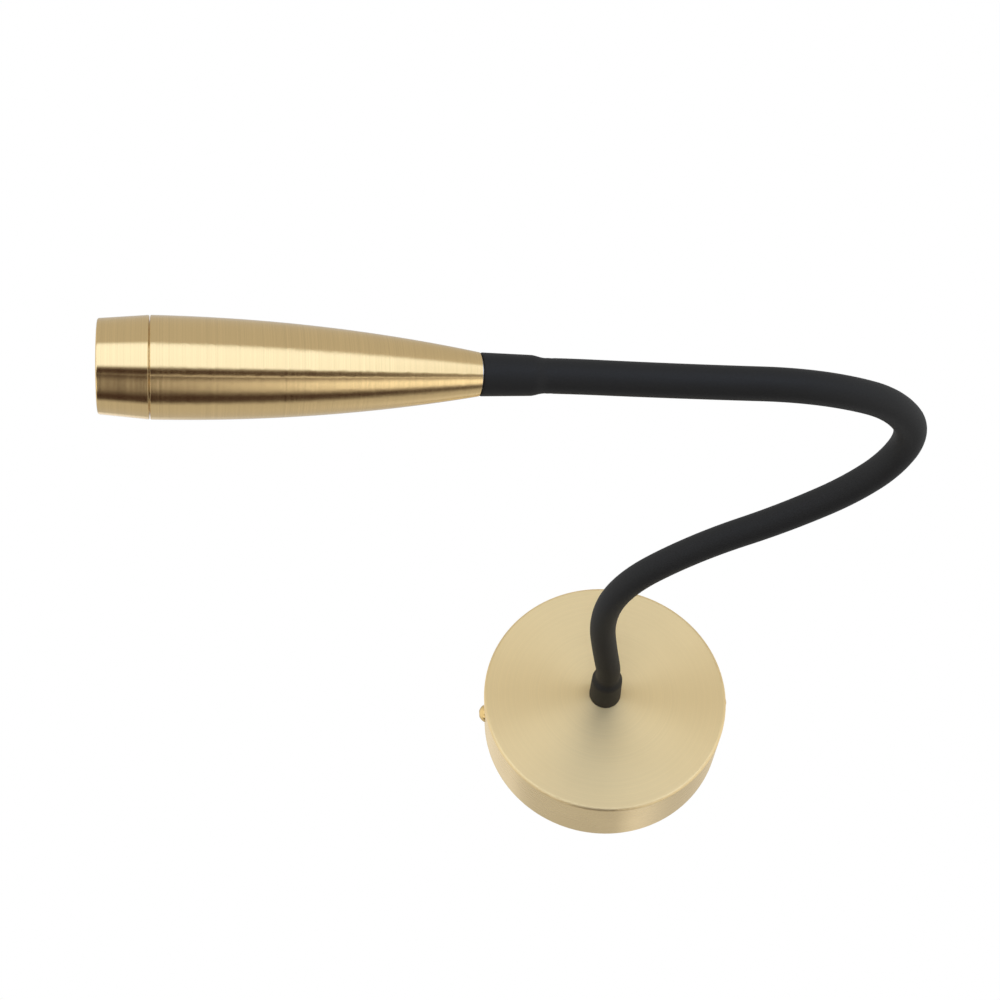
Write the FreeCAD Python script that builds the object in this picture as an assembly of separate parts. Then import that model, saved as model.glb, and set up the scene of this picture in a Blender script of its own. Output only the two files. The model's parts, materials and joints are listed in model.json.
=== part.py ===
import FreeCAD, Part
import math
import os

# Bedside wall reading lamp: a round canopy on the wall, a gooseneck in a black sleeve, and a slim
# brass head that holds one LED behind a focusing lens.
#
# Millimetres.  The origin is the middle of the canopy's back, on the wall.  +Y runs into the wall,
# so the lamp reaches out along -Y.  +X is to the right, seen from the room, and +Z is up.
# Pieces of the wall end are drawn flat, with Z as the distance out of the wall, and stood up after.
# Pieces of the head are drawn along Z, from its tail at 0 towards its light, and then put in place.

# Canopy: a spun cup, open to the wall
CANOPY_DIAMETER = 100.0
CANOPY_HEIGHT = 27.3
CANOPY_SHEET = 1.2
CANOPY_EDGE = 1.2

# Bracket: a steel plate on the wall, with an ear at each side that a side screw pulls on
BRACKET_TURN = 3.0
BRACKET_SHEET = 2.0
BRACKET_PLATE_WIDTH = 72.0
BRACKET_PLATE_HEIGHT = 64.0
BRACKET_CORNER = 6.0
EAR_WIDTH = 12.0
EAR_TO_CANOPY = 1.0
WALL_SCREW_PITCH = 60.0
WALL_SCREW_HOLE = 5.0
CABLE_ENTRY_DIAMETER = 12.0

# Side screws: domed, one at each end of the bracket
SIDE_SCREW_HEIGHT = 13.5
SIDE_SCREW_THREAD = 4.0
SIDE_SCREW_HEAD = 7.4
SIDE_SCREW_DOME = 2.4
SIDE_SCREW_LENGTH = 8.0
SIDE_SCREW_RECESS = 2.5
SIDE_SCREW_RECESS_DEPTH = 1.2
SCREW_HOLE_SLACK = 0.4

# Gooseneck: a wound steel tube in a black sleeve, with two wires in its bore
HOSE_DIAMETER = 9.8
SLEEVE_WALL = 0.8
FLEX_TUBE_BORE = 4.4
WIRE_DIAMETER = 1.8
WIRE_SPACING = 2.0

# Its centreline, from the canopy's face to the brass tail.  Each run is a straight line or an arc
# that carries on smoothly: its length, then where it heads at its end, in degrees round the
# vertical from +X, and how steeply it climbs there.
ARM_ROUTE = [
    (18, -90, 0),
    (10, -99, 2),
    (22, -97, 2),
    (26, -80, -2),
    (31, -46, 2),
    (37, -35, 0),
    (31, -44, 0),
    (18, -56, 1),
    (15, -75, 3),
    (18, -123, -6),
    (20, -148, -9),
    (36, -176, -1),
    (47, -168, -6),
    (16, -169, -7),
    (18, -169, -7),
]

# The gooseneck bends anywhere, so it is cut into links at evenly spaced pivots.  A link ends in a
# dome about its pivot, and the next one starts with a hollow round that dome.
PIVOT_COUNT = 10
FIRST_PIVOT = 34.0
LAST_PIVOT_TO_HEAD = 33.0
PIVOT_GAP = 0.3
WIRE_PIVOT_GAP = 0.5

# Ferrules that the wound tube is pressed into, and the collars where the sleeve is pulled over them
FERRULE_LENGTH = 14.0
FERRULE_FLOOR = 2.0
BASE_FERRULE_DIAMETER = 10.8
HEAD_FERRULE_DIAMETER = 10.2
STEM_DIAMETER = 8.0
STEM_BORE = 4.6
BASE_STEM_LENGTH = 12.0
BASE_COLLAR_DIAMETER = 12.4
BASE_COLLAR_NECK = 11.8
HEAD_COLLAR_DIAMETER = 11.9
HEAD_COLLAR_NECK = 11.2
COLLAR_SHOULDER = 3.8
COLLAR_TO_HEAD = 0.4

# Nut and toothed washer under the canopy's face
LOCK_NUT_FLATS = 13.0
LOCK_NUT_HEIGHT = 4.0
WASHER_DIAMETER = 14.0
WASHER_SHEET = 0.8
WASHER_TEETH = 12

# LED driver and terminal block, on the bracket
DRIVER_LENGTH = 42.0
DRIVER_WIDTH = 20.0
DRIVER_HEIGHT = 16.0
DRIVER_MIDDLE = 19.5
DRIVER_CORNER = 2.0
DRIVER_EDGE = 1.0
DRIVER_TAB = 6.0
DRIVER_TAB_SHEET = 2.0
TERMINAL_LENGTH = 27.0
TERMINAL_WIDTH = 13.0
TERMINAL_HEIGHT = 12.0
TERMINAL_MIDDLE = -20.0
TERMINAL_POLES = 3
TERMINAL_WIRE_HOLE = 3.0
TERMINAL_WIRE_DEPTH = 5.5
TERMINAL_SCREW = 3.4
TERMINAL_SCREW_SUNK = 1.0
TERMINAL_SLOT_DEPTH = 1.0
TERMINAL_CORNER = 1.0
SMALL_SCREW = 3.0
SMALL_SCREW_HEAD = 5.6
SMALL_SCREW_HEAD_HEIGHT = 1.8
EARTH_SCREW_ACROSS = 24.0
EARTH_SCREW_UP = -20.0
EARTH_TAG_SHEET = 0.8
EARTH_TAG_WIDTH = 8.0
LEAD_DIAMETER = 1.8
LEAD_BEND = 3.0

# Head: a turned shell whose outline is one long arc, and a focusing ring in front of it
HEAD_TAIL_DIAMETER = 12.0
HEAD_DIAMETER = 26.8
HEAD_LENGTH = 99.1
RING_LENGTH = 12.75
SEAM_GAP = 0.25
SEAM_CHAMFER = 0.2
WIDEST_TO_SEAM = 3.1
RING_FRONT_DIAMETER = 24.4
RING_EDGE = 0.5
TAIL_WALL = 10.0
SHELL_TAPER_START = 12.8
SHELL_BORE = 21.6
SHELL_BORE_DEPTH = 36.1
SPIGOT_DIAMETER = 23.6
SPIGOT_LENGTH = 5.0

# Tail nut on the stem, inside the shell
TAIL_NUT_DIAMETER = 12.2
TAIL_NUT_HEIGHT = 3.0
HEAD_STEM_LENGTH = 14.5

# Light engine
HEAT_SINK_LENGTH = 18.0
HEAT_SINK_PLATE = 4.0
HEAT_SINK_FINS = 10
HEAT_SINK_SLOT = 1.6
HEAT_SINK_CORE = 5.0
BOARD_DIAMETER = 19.0
BOARD_SHEET = 1.6
BOARD_SCREW = 2.0
BOARD_SCREW_HEAD = 3.8
BOARD_SCREW_HEAD_HEIGHT = 1.3
BOARD_SCREW_LENGTH = 3.0
BOARD_SCREW_RADIUS = 6.4
LED_SIDE = 5.0
LED_SHEET = 0.8
LED_DOME = 2.0

# Lens carriage: it slides in the shell's bore, and the ring carries it
RUNNING_GAP = 0.3
CARRIAGE_TO_SEAM = 2.1
BOARD_TO_CARRIAGE = 4.4
CARRIAGE_BORE = 18.6
FLANGE_DIAMETER = 23.6
FLANGE_SHEET = 0.7
LENS_EDGE = 1.2
LENS_DOME = 1.3
LENS_DOME_DIAMETER = 19.0
COLLIMATOR_BACK_DIAMETER = 8.0
COLLIMATOR_POCKET = 5.0
COLLIMATOR_POCKET_DEPTH = 4.0
COLLIMATOR_GLUE_LINE = 0.1
RING_BORE = 24.2
RETAINER_SHEET = 0.6
RETAINER_WALL = 1.2
LENS_WINDOW_DIAMETER = 20.0
RING_LIP = 2.0
SEAL_SECTION = 0.6
SEAL_GROOVE_WIDTH = 0.9
SEAL_GROOVE_DEPTH = 0.5
SEAL_FROM_SPIGOT_TIP = 0.9

# A cutting tool runs past the faces that it opens by this much.
OVERRUN = 1.0

# Sizes that follow from the ones above
CANOPY_RADIUS = CANOPY_DIAMETER / 2
CANOPY_INSIDE = CANOPY_RADIUS - CANOPY_SHEET
CANOPY_CEILING = CANOPY_HEIGHT - CANOPY_SHEET
EAR_FACE = math.sqrt((CANOPY_INSIDE - EAR_TO_CANOPY) ** 2 - (EAR_WIDTH / 2) ** 2)
HOSE_RADIUS = HOSE_DIAMETER / 2
FLEX_TUBE_RADIUS = HOSE_RADIUS - SLEEVE_WALL
ARM_LENGTH = sum(run[0] for run in ARM_ROUTE)
HEAD_RADIUS = HEAD_DIAMETER / 2
RING_START = HEAD_LENGTH - RING_LENGTH
SEAM_AT = RING_START - SEAM_GAP
HEAD_WIDEST_AT = SEAM_AT - WIDEST_TO_SEAM
SHELL_BORE_FROM = SEAM_AT - SHELL_BORE_DEPTH
SPIGOT_TIP = SEAM_AT + SPIGOT_LENGTH
RETAINER_BACK = SPIGOT_TIP + RUNNING_GAP
FLANGE_BACK = RETAINER_BACK + RETAINER_SHEET + RUNNING_GAP
FLANGE_FRONT = FLANGE_BACK + FLANGE_SHEET
RING_SHOULDER = FLANGE_FRONT + RUNNING_GAP
LIP_BACK = HEAD_LENGTH - RING_LIP
LENS_FRONT = LIP_BACK - RUNNING_GAP - LENS_DOME / 2
LENS_BACK = LENS_FRONT - LENS_EDGE
CARRIAGE_RADIUS = SHELL_BORE / 2 - RUNNING_GAP
CARRIAGE_BACK = SEAM_AT - CARRIAGE_TO_SEAM
BOARD_FRONT = CARRIAGE_BACK - BOARD_TO_CARRIAGE
HEAT_SINK_FRONT = BOARD_FRONT - BOARD_SHEET
HEAT_SINK_FROM = HEAT_SINK_FRONT - HEAT_SINK_LENGTH


def point(x, y, z):
    return FreeCAD.Vector(x, y, z)


ORIGIN = point(0, 0, 0)
ACROSS = point(1, 0, 0)
UP = point(0, 0, 1)


# ---------------------------------------------------------------- simple solids

def rod(radius, low, high, x=0.0, y=0.0):
    """A round bar along Z."""
    return Part.makeCylinder(radius, high - low, point(x, y, low))


def drilled(solid, radius, low, high, x=0.0, y=0.0):
    """The solid with a round hole along Z that runs out past both ends."""
    return solid.cut(rod(radius, low - OVERRUN, high + OVERRUN, x, y))


def tube(outer, inner, low, high):
    return drilled(rod(outer, low, high), inner, low, high)


def block(width, height, low, high, x=0.0, y=0.0):
    """A box that is centred on (x, y), from low to high along Z."""
    return Part.makeBox(width, height, high - low, point(x - width / 2, y - height / 2, low))


def rounded_block(width, height, low, high, corner, x=0.0, y=0.0):
    """A box whose four edges along Z are rounded."""
    solid = block(width, height, low, high, x, y)
    uprights = [edge for edge in solid.Edges if abs(edge.BoundBox.ZLength - (high - low)) < 1e-6]
    return solid.makeFillet(corner, uprights)


def outline_point(radius, height):
    return point(radius, 0, height)


def line(start, end):
    return Part.LineSegment(outline_point(*start), outline_point(*end)).toShape()


def arc(start, middle, end):
    return Part.Arc(outline_point(*start), outline_point(*middle), outline_point(*end)).toShape()


def turned(edges):
    """The solid that a closed outline of (radius, height) edges sweeps round the Z axis."""
    return Part.Face(Part.Wire(edges)).revolve(ORIGIN, UP, 360)


def turned_polygon(corners):
    return turned([line(a, b) for a, b in zip(corners, corners[1:] + corners[:1])])


def hexagon_prism(flats, low, high):
    corner = flats / math.sqrt(3)
    corners = [point(corner * math.cos(math.radians(60 * i)), corner * math.sin(math.radians(60 * i)), low)
               for i in range(7)]
    return Part.Face(Part.makePolygon(corners)).extrude(UP * (high - low))


def domed_cap(diameter, rise, low):
    """A shallow ball cap that stands on its flat side."""
    radius = ((diameter / 2) ** 2 + rise ** 2) / (2 * rise)
    ball = Part.makeSphere(radius, point(0, 0, low + rise - radius))
    return ball.common(rod(diameter, low, low + rise + OVERRUN))


def joined(solids):
    """Solids that share faces, as one solid."""
    whole = solids[0]
    for solid in solids[1:]:
        whole = whole.fuse(solid)
    return whole.removeSplitter() if len(solids) > 1 else whole


def group(solids):
    """Separate solids that share one name."""
    return Part.makeCompound(solids)


def round_wire(points, diameter, bend):
    """A round lead that runs straight from point to point, with a tangent arc at each turn."""
    edges = []
    start = points[0]
    for before, corner, after in zip(points, points[1:], points[2:]):
        inward = (before - corner).normalize()
        outward = (after - corner).normalize()
        half_turn = (math.pi - inward.getAngle(outward)) / 2
        reach = bend * math.tan(half_turn)
        arc_start = corner + inward * reach
        arc_end = corner + outward * reach
        bisector = (inward + outward).normalize()
        arc_middle = corner + bisector * (bend / math.cos(half_turn) - bend)
        edges.append(Part.LineSegment(start, arc_start).toShape())
        edges.append(Part.Arc(arc_start, arc_middle, arc_end).toShape())
        start = arc_end
    edges.append(Part.LineSegment(start, points[-1]).toShape())
    path = Part.Wire(edges)
    section = Part.Wire(Part.makeCircle(diameter / 2, points[0], points[1] - points[0]))
    return path.makePipeShell([section], True, False)


# ---------------------------------------------------------------- places

def on_wall(shape):
    """Stand a piece that was drawn flat up on the wall: its Z becomes the way into the room."""
    placed = shape.copy()
    placed.rotate(ORIGIN, ACROSS, 90)
    return placed


def on_bracket(shape):
    """The same, turned with the bracket, which was screwed to the wall a little askew."""
    placed = shape.copy()
    placed.rotate(ORIGIN, UP, BRACKET_TURN)
    return on_wall(placed)


# ---------------------------------------------------------------- the gooseneck's centreline

def heading(round_vertical, climb):
    """The unit vector with this heading and climb, in degrees."""
    flat = math.cos(math.radians(climb))
    return point(flat * math.cos(math.radians(round_vertical)),
                 flat * math.sin(math.radians(round_vertical)),
                 math.sin(math.radians(climb)))


class Run:
    """A straight line or an arc of the centreline."""

    def __init__(self, start, tangent, length, end_tangent):
        self.start = start
        self.tangent = tangent
        self.length = length
        self.turn = tangent.getAngle(end_tangent)
        self.straight = self.turn < 1e-6
        if not self.straight:
            self.radius = length / self.turn
            self.side = (end_tangent - tangent * tangent.dot(end_tangent)).normalize()
            self.centre = start + self.side * self.radius

    def at(self, distance):
        """The point that far along the run, and the direction there."""
        if self.straight:
            return self.start + self.tangent * distance, self.tangent
        angle = distance / self.radius
        ahead = self.tangent * math.cos(angle) + self.side * math.sin(angle)
        aside = self.side * math.cos(angle) - self.tangent * math.sin(angle)
        return self.centre - aside * self.radius, ahead

    def edge(self, first, last):
        """The run's line or arc between two distances from its start."""
        start, middle, end = [self.at(distance)[0] for distance in (first, (first + last) / 2, last)]
        if self.straight:
            return Part.LineSegment(start, end).toShape()
        return Part.Arc(start, middle, end).toShape()


def arm_runs():
    runs = []
    place = point(0, -CANOPY_HEIGHT, 0)
    ahead = heading(-90, 0)
    for length, round_vertical, climb in ARM_ROUTE:
        runs.append(Run(place, ahead, length, heading(round_vertical, climb)))
        place, ahead = runs[-1].at(length)
    return runs


ARM_RUNS = arm_runs()


def arm_at(distance):
    """The centreline's point and direction, that far from the canopy's face."""
    for run in ARM_RUNS:
        if distance <= run.length or run is ARM_RUNS[-1]:
            return run.at(distance)
        distance -= run.length


def arm_path(first, last):
    """The centreline between two distances from the canopy's face."""
    edges = []
    start = 0.0
    for run in ARM_RUNS:
        low = max(first, start)
        high = min(last, start + run.length)
        if high - low > 1e-6:
            edges.append(run.edge(low - start, high - start))
        start += run.length
    return Part.Wire(edges)


def disc(radius, place, ahead):
    return Part.Face(Part.Wire(Part.makeCircle(radius, place, ahead)))


def arm_bar(first, last, radius, bore=0.0, aside=0.0):
    """A round bar or tube along the centreline, or level with it at one side."""
    place, ahead = arm_at(first)
    middle = place + UP.cross(ahead).normalize() * aside
    section = disc(radius, middle, ahead)
    if bore:
        section = section.cut(disc(bore, middle, ahead)).Faces[0]
    return arm_path(first, last).makePipe(section)


HEAD_PLACE, HEAD_AXIS = arm_at(ARM_LENGTH)


HEAD_TURN = FreeCAD.Rotation(UP.cross(HEAD_AXIS), ORIGIN, HEAD_AXIS, "ZXY")


def on_head(shape):
    """Put a piece that was drawn along Z on the head's axis: its tail end at 0, and its X level."""
    placed = shape.copy()
    placed.Placement = FreeCAD.Placement(HEAD_PLACE, HEAD_TURN).multiply(placed.Placement)
    return placed


def pivots():
    """How far along the centreline each pivot is."""
    span = ARM_LENGTH - LAST_PIVOT_TO_HEAD - FIRST_PIVOT
    return [FIRST_PIVOT + span * i / (PIVOT_COUNT - 1) for i in range(PIVOT_COUNT)]


def hollowed_for_pivot(solid, pivot):
    """Clear the start of a link round the dome of the link before it."""
    return solid.cut(Part.makeSphere(HOSE_RADIUS + PIVOT_GAP, arm_at(pivot)[0]))


def pivot_dome(pivot, outer, inner):
    """The domed end that a layer of the hose has past its pivot, with the layer's bore through it."""
    place, ahead = arm_at(pivot)
    dome = Part.makeSphere(HOSE_RADIUS, place, ahead, 0, 90, 360)
    if outer < HOSE_RADIUS:
        dome = dome.common(Part.makeCylinder(outer, HOSE_DIAMETER, place, ahead))
    return dome.cut(Part.makeCylinder(inner, HOSE_DIAMETER, place - ahead, ahead))


def hose_layer(first, last, outer, inner, hollow_start, domed_end):
    """A tube along the centreline, shaped at its ends for the pivots there."""
    layer = arm_bar(first, last, outer, inner)
    if hollow_start:
        layer = hollowed_for_pivot(layer, first)
    if domed_end:
        layer = joined([layer, pivot_dome(last, outer, inner)])
    return layer


# ---------------------------------------------------------------- canopy, bracket and what they hold

def canopy():
    """The cup, with a hole for the gooseneck's stem and one at each side for a screw."""
    cup = rod(CANOPY_RADIUS, 0, CANOPY_HEIGHT)
    front_edge = [edge for edge in cup.Edges if edge.BoundBox.ZMin > CANOPY_HEIGHT - 1e-6]
    cup = cup.makeFillet(CANOPY_EDGE, front_edge)
    cup = cup.cut(rod(CANOPY_INSIDE, -OVERRUN, CANOPY_CEILING))
    cup = drilled(cup, (STEM_DIAMETER + SCREW_HOLE_SLACK) / 2, CANOPY_CEILING, CANOPY_HEIGHT)
    side_holes = Part.makeCylinder((SIDE_SCREW_THREAD + SCREW_HOLE_SLACK) / 2, CANOPY_DIAMETER + 2 * OVERRUN,
                                   point(-CANOPY_RADIUS - OVERRUN, 0, SIDE_SCREW_HEIGHT), ACROSS)
    return on_bracket(cup.cut(side_holes))


def mounting_bracket():
    """The flat plate on the wall, with a strap at each side that carries an ear."""
    plate = rounded_block(BRACKET_PLATE_WIDTH, BRACKET_PLATE_HEIGHT, 0, BRACKET_SHEET, BRACKET_CORNER)
    bracket = joined([plate, block(2 * EAR_FACE, EAR_WIDTH, 0, BRACKET_SHEET)])
    bracket = drilled(bracket, CABLE_ENTRY_DIAMETER / 2, 0, BRACKET_SHEET)
    for side in (-1, 1):
        bracket = drilled(bracket, WALL_SCREW_HOLE / 2, 0, BRACKET_SHEET, side * WALL_SCREW_PITCH / 2)
    for x, y in driver_screw_places() + [(EARTH_SCREW_ACROSS, EARTH_SCREW_UP)]:
        bracket = drilled(bracket, SMALL_SCREW / 2, 0, BRACKET_SHEET, x, y)
    return on_bracket(bracket)


def bracket_ears():
    """Two round-topped ears, welded on the bracket's straps and tapped for the side screws."""
    ears = []
    for side in (-1, 1):
        middle = side * (EAR_FACE - BRACKET_SHEET / 2)
        back = point(middle - BRACKET_SHEET / 2, 0, SIDE_SCREW_HEIGHT)
        stand = block(BRACKET_SHEET, EAR_WIDTH, BRACKET_SHEET, SIDE_SCREW_HEIGHT, middle)
        ear = joined([stand, Part.makeCylinder(EAR_WIDTH / 2, BRACKET_SHEET, back, ACROSS)])
        thread = Part.makeCylinder(SIDE_SCREW_THREAD / 2, BRACKET_SHEET, back, ACROSS)
        ears.append(on_bracket(ear.cut(thread)))
    return group(ears)


def side_screws():
    """Two domed screws with a hexagon recess, each pulled up against the canopy's side."""
    thread = rod(SIDE_SCREW_THREAD / 2, -SIDE_SCREW_LENGTH, 0)
    screw = joined([thread, domed_cap(SIDE_SCREW_HEAD, SIDE_SCREW_DOME, 0)])
    recess_floor = SIDE_SCREW_DOME - SIDE_SCREW_RECESS_DEPTH
    screw = screw.cut(hexagon_prism(SIDE_SCREW_RECESS, recess_floor, SIDE_SCREW_DOME + OVERRUN))
    screws = []
    for side in (-1, 1):
        placed = screw.copy()
        placed.rotate(ORIGIN, point(0, 1, 0), side * 90)
        placed.translate(point(side * CANOPY_RADIUS, 0, SIDE_SCREW_HEIGHT))
        screws.append(on_bracket(placed))
    return group(screws)


def base_ferrule():
    """The fitting that holds the gooseneck: a cup for the wound tube, and a stem through the canopy."""
    floor = CANOPY_HEIGHT + FERRULE_FLOOR
    rim = CANOPY_HEIGHT + FERRULE_LENGTH
    stem_end = CANOPY_HEIGHT - BASE_STEM_LENGTH
    ferrule = joined([rod(BASE_FERRULE_DIAMETER / 2, CANOPY_HEIGHT, rim),
                      rod(STEM_DIAMETER / 2, stem_end, CANOPY_HEIGHT)])
    ferrule = ferrule.cut(rod(FLEX_TUBE_RADIUS, floor, rim + OVERRUN))
    return on_wall(drilled(ferrule, STEM_BORE / 2, stem_end, floor))


def toothed_washer():
    """A star washer between the canopy's face and the nut."""
    low = CANOPY_CEILING - WASHER_SHEET
    washer = tube(WASHER_DIAMETER / 2, STEM_DIAMETER / 2, low, CANOPY_CEILING)
    tooth_gap = math.pi * WASHER_DIAMETER / WASHER_TEETH / 2
    for i in range(WASHER_TEETH):
        notch = block(tooth_gap, tooth_gap, low - OVERRUN, CANOPY_CEILING + OVERRUN, WASHER_DIAMETER / 2)
        notch.rotate(ORIGIN, UP, 360.0 * i / WASHER_TEETH)
        washer = washer.cut(notch)
    return on_wall(washer)


def lock_nut():
    high = CANOPY_CEILING - WASHER_SHEET
    low = high - LOCK_NUT_HEIGHT
    return on_wall(drilled(hexagon_prism(LOCK_NUT_FLATS, low, high), STEM_DIAMETER / 2, low, high))


def driver_screw_places():
    reach = (DRIVER_LENGTH + DRIVER_TAB) / 2
    return [(-reach, DRIVER_MIDDLE), (reach, DRIVER_MIDDLE)]


def led_driver():
    """The LED driver's case, with a screw tab at each end."""
    bottom = BRACKET_SHEET
    case = rounded_block(DRIVER_LENGTH, DRIVER_WIDTH, bottom, bottom + DRIVER_HEIGHT, DRIVER_CORNER,
                         0, DRIVER_MIDDLE)
    top = [edge for edge in case.Edges if edge.BoundBox.ZMin > bottom + DRIVER_HEIGHT - 1e-6]
    case = case.makeFillet(DRIVER_EDGE, top)
    tabs = block(DRIVER_LENGTH + 2 * DRIVER_TAB, 2 * DRIVER_TAB, bottom, bottom + DRIVER_TAB_SHEET,
                 0, DRIVER_MIDDLE)
    driver = joined([case, tabs])
    for x, y in driver_screw_places():
        clear_hole = (SMALL_SCREW + SCREW_HOLE_SLACK) / 2
        driver = drilled(driver, clear_hole, bottom, bottom + DRIVER_TAB_SHEET, x, y)
    return on_bracket(driver)


def pan_screw(diameter, head_diameter, head_height, thread_end, seat, x, y):
    """A screw along Z whose slotted head sits on the height called seat."""
    top = seat + head_height
    screw = joined([rod(diameter / 2, thread_end, seat, x, y),
                    rod(head_diameter / 2, seat, top, x, y)])
    slot_width = head_diameter / 6
    return screw.cut(block(head_diameter + OVERRUN, slot_width, seat + head_height / 2, top + OVERRUN, x, y))


def driver_screws():
    return group([on_bracket(pan_screw(SMALL_SCREW, SMALL_SCREW_HEAD, SMALL_SCREW_HEAD_HEIGHT,
                                       0, BRACKET_SHEET + DRIVER_TAB_SHEET, x, y))
                  for x, y in driver_screw_places()])


def pole_places():
    """How far across each pole of the terminal block is."""
    pitch = TERMINAL_LENGTH / TERMINAL_POLES
    return [pitch * (i - (TERMINAL_POLES - 1) / 2) for i in range(TERMINAL_POLES)]


TERMINAL_TOP = BRACKET_SHEET + TERMINAL_HEIGHT
POLE_HEIGHT = BRACKET_SHEET + TERMINAL_WIRE_HOLE
POLE_SCREW_SEAT = POLE_HEIGHT + TERMINAL_WIRE_HOLE / 2


def terminal_block():
    """A mains terminal block: each pole has a wire hole at both sides and a clamping screw."""
    body = rounded_block(TERMINAL_LENGTH, TERMINAL_WIDTH, BRACKET_SHEET, TERMINAL_TOP, TERMINAL_CORNER,
                         0, TERMINAL_MIDDLE)
    drill_length = TERMINAL_WIRE_DEPTH + OVERRUN
    for x in pole_places():
        for inward in (-1, 1):
            mouth = point(x, TERMINAL_MIDDLE - inward * (TERMINAL_WIDTH / 2 + OVERRUN), POLE_HEIGHT)
            drilling = Part.makeCylinder(TERMINAL_WIRE_HOLE / 2, drill_length, mouth, point(0, inward, 0))
            body = body.cut(drilling)
        body = body.cut(rod(TERMINAL_SCREW / 2, POLE_SCREW_SEAT, TERMINAL_TOP + OVERRUN, x, TERMINAL_MIDDLE))
    return on_bracket(body)


def terminal_screws():
    """The clamping screws, each sunk a little below the block's top."""
    screws = []
    for x in pole_places():
        top = TERMINAL_TOP - TERMINAL_SCREW_SUNK
        screw = rod(TERMINAL_SCREW / 2, POLE_SCREW_SEAT, top, x, TERMINAL_MIDDLE)
        slot = block(TERMINAL_SCREW + OVERRUN, TERMINAL_SCREW / 5, top - TERMINAL_SLOT_DEPTH, top + OVERRUN,
                     x, TERMINAL_MIDDLE)
        screws.append(on_bracket(screw.cut(slot)))
    return group(screws)


def earth_terminal():
    """The earth screw and the ring tag that it clamps to the bracket."""
    tag_top = BRACKET_SHEET + EARTH_TAG_SHEET
    tag = rod(EARTH_TAG_WIDTH / 2, BRACKET_SHEET, tag_top, EARTH_SCREW_ACROSS, EARTH_SCREW_UP)
    tag = drilled(tag, SMALL_SCREW / 2, BRACKET_SHEET, tag_top, EARTH_SCREW_ACROSS, EARTH_SCREW_UP)
    screw = pan_screw(SMALL_SCREW, SMALL_SCREW_HEAD, SMALL_SCREW_HEAD_HEIGHT,
                      0, tag_top, EARTH_SCREW_ACROSS, EARTH_SCREW_UP)
    return group([on_bracket(tag), on_bracket(screw)])


def mains_leads():
    """Live and neutral from the terminal block to the driver, and the earth lead to its tag."""
    block_edge = TERMINAL_MIDDLE + TERMINAL_WIDTH / 2
    driver_edge = DRIVER_MIDDLE - DRIVER_WIDTH / 2
    live_pole, neutral_pole, earth_pole = pole_places()
    inside_pole = point(0, -LEAD_DIAMETER, 0)
    straight_part = point(0, 2 * LEAD_BEND, 0)
    routes = []
    for pole, shift in ((live_pole, -2 * LEAD_BEND), (neutral_pole, -3 * LEAD_BEND)):
        start = point(pole, block_edge, POLE_HEIGHT)
        end = point(pole + shift, driver_edge, POLE_HEIGHT)
        routes.append([start + inside_pole, start + straight_part, end - straight_part, end])
    start = point(earth_pole, block_edge, POLE_HEIGHT)
    tag_edge = point(EARTH_SCREW_ACROSS, EARTH_SCREW_UP + EARTH_TAG_WIDTH / 2,
                     BRACKET_SHEET + LEAD_DIAMETER / 2)
    over_tag = point(EARTH_SCREW_ACROSS, start.y + straight_part.y, tag_edge.z)
    routes.append([start + inside_pole, start + straight_part, over_tag, tag_edge])
    return group([on_bracket(round_wire(route, LEAD_DIAMETER, LEAD_BEND)) for route in routes])


def output_leads():
    """Two low-voltage wires from the driver into the stem, where the gooseneck's wires take over."""
    driver_edge = DRIVER_MIDDLE - DRIVER_WIDTH / 2
    stem_end = CANOPY_HEIGHT - BASE_STEM_LENGTH
    low = stem_end - 2 * LEAD_BEND
    leads = []
    for side in (-1, 1):
        x = side * WIRE_SPACING / 2
        leads.append(on_bracket(round_wire([point(x, driver_edge, low),
                                            point(x, 0, low),
                                            point(x, 0, CANOPY_HEIGHT)], WIRE_DIAMETER, LEAD_BEND)))
    return group(leads)


# ---------------------------------------------------------------- gooseneck pieces

def shoulder_arcs(wide, wide_at, narrow, narrow_at):
    """The two arcs that bring a collar down smoothly from its wide end to its narrow end."""
    half_length = (narrow_at - wide_at) / 2
    half_drop = (wide - narrow) / 2
    radius = (half_length ** 2 + half_drop ** 2) / (2 * half_drop)
    middle = ((wide + narrow) / 2, wide_at + half_length)
    quarter = math.asin(half_length / radius) / 2
    crown = (wide - radius + radius * math.cos(quarter), wide_at + radius * math.sin(quarter))
    foot = (narrow + radius - radius * math.cos(quarter), narrow_at - radius * math.sin(quarter))
    return [arc((wide, wide_at), crown, middle), arc(middle, foot, (narrow, narrow_at))]


def collar(end_diameter, neck_diameter, ferrule_diameter):
    """The sleeve's end, stretched over a ferrule and easing down to the hose, drawn from its mouth up."""
    length = FERRULE_LENGTH + COLLAR_SHOULDER
    outline = [line((0, 0), (end_diameter / 2, 0)),
               line((end_diameter / 2, 0), (neck_diameter / 2, FERRULE_LENGTH))]
    outline += shoulder_arcs(neck_diameter / 2, FERRULE_LENGTH, HOSE_RADIUS, length)
    outline += [line((HOSE_RADIUS, length), (0, length)), line((0, length), (0, 0))]
    solid = turned(outline).cut(rod(ferrule_diameter / 2, -OVERRUN, FERRULE_LENGTH))
    return drilled(solid, FLEX_TUBE_RADIUS, 0, length), length


def first_sleeve(end):
    """The sleeve from the canopy's face to the first pivot."""
    cuff, length = collar(BASE_COLLAR_DIAMETER, BASE_COLLAR_NECK, BASE_FERRULE_DIAMETER)
    cuff.translate(point(0, 0, CANOPY_HEIGHT))
    rest = hose_layer(length, end, HOSE_RADIUS, FLEX_TUBE_RADIUS, False, True)
    return joined([on_wall(cuff), rest])


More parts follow.
